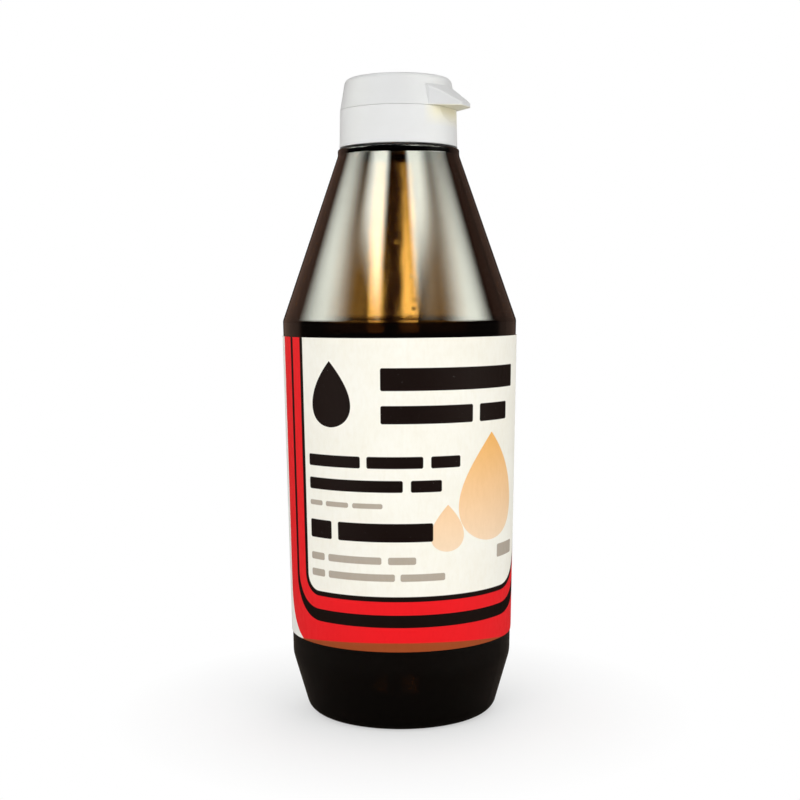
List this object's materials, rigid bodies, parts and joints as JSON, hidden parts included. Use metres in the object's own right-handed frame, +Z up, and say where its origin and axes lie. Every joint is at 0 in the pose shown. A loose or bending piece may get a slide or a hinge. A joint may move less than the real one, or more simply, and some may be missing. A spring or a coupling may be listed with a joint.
{
  "type": "solution bottle with flip-top cap",
  "caption": "Amber plastic bottle with conical shoulder and heel, a wrap-round paper label and a white flip-top screw cap with a beak-shaped thumb tab.",
  "frame": {"origin": "centre of the base, on the table the bottle stands on", "axes": "+Z up along the bottle's axis; +X towards the lid's thumb tab, with the film hinge at the back on -X; +Y completes a right-handed frame"},
  "size_m": [0.044, 0.044, 0.1184],
  "materials": {
    "amber_plastic": "gloss",
    "label_paper": "satin",
    "seal_foam": "matte",
    "white_plastic": "satin"
  },
  "bodies": {
    "bottle": {"bottle": "amber_plastic", "wrap_label": "label_paper"},
    "seal": {"neck_seal": "seal_foam"},
    "cap": {"cap_base": "white_plastic", "film_hinge": "white_plastic"},
    "lid": {"flip_lid": "white_plastic"}
  },
  "joints": [
    {"name": "cap_lift", "type": "slide", "parent": "bottle", "child": "seal", "axis": [0, 0, 1], "range_m": [0, 0.00953]},
    {"name": "cap_turn", "type": "hinge", "parent": "seal", "child": "cap", "pos_m": [0, 0, 0.109], "axis": [0, 0, 1], "range_deg": [0, 1080]},
    {"name": "lid_flip", "type": "hinge", "parent": "cap", "child": "lid", "pos_m": [-0.01056, 0, 0.11253], "axis": [0, -1, 0], "range_deg": [0, 135], "deforming": ["film_hinge"]}
  ],
  "couplings": [
    {"joint": "cap_lift", "follows": "cap_turn", "m_per_rad": 0.00050532}
  ]
}
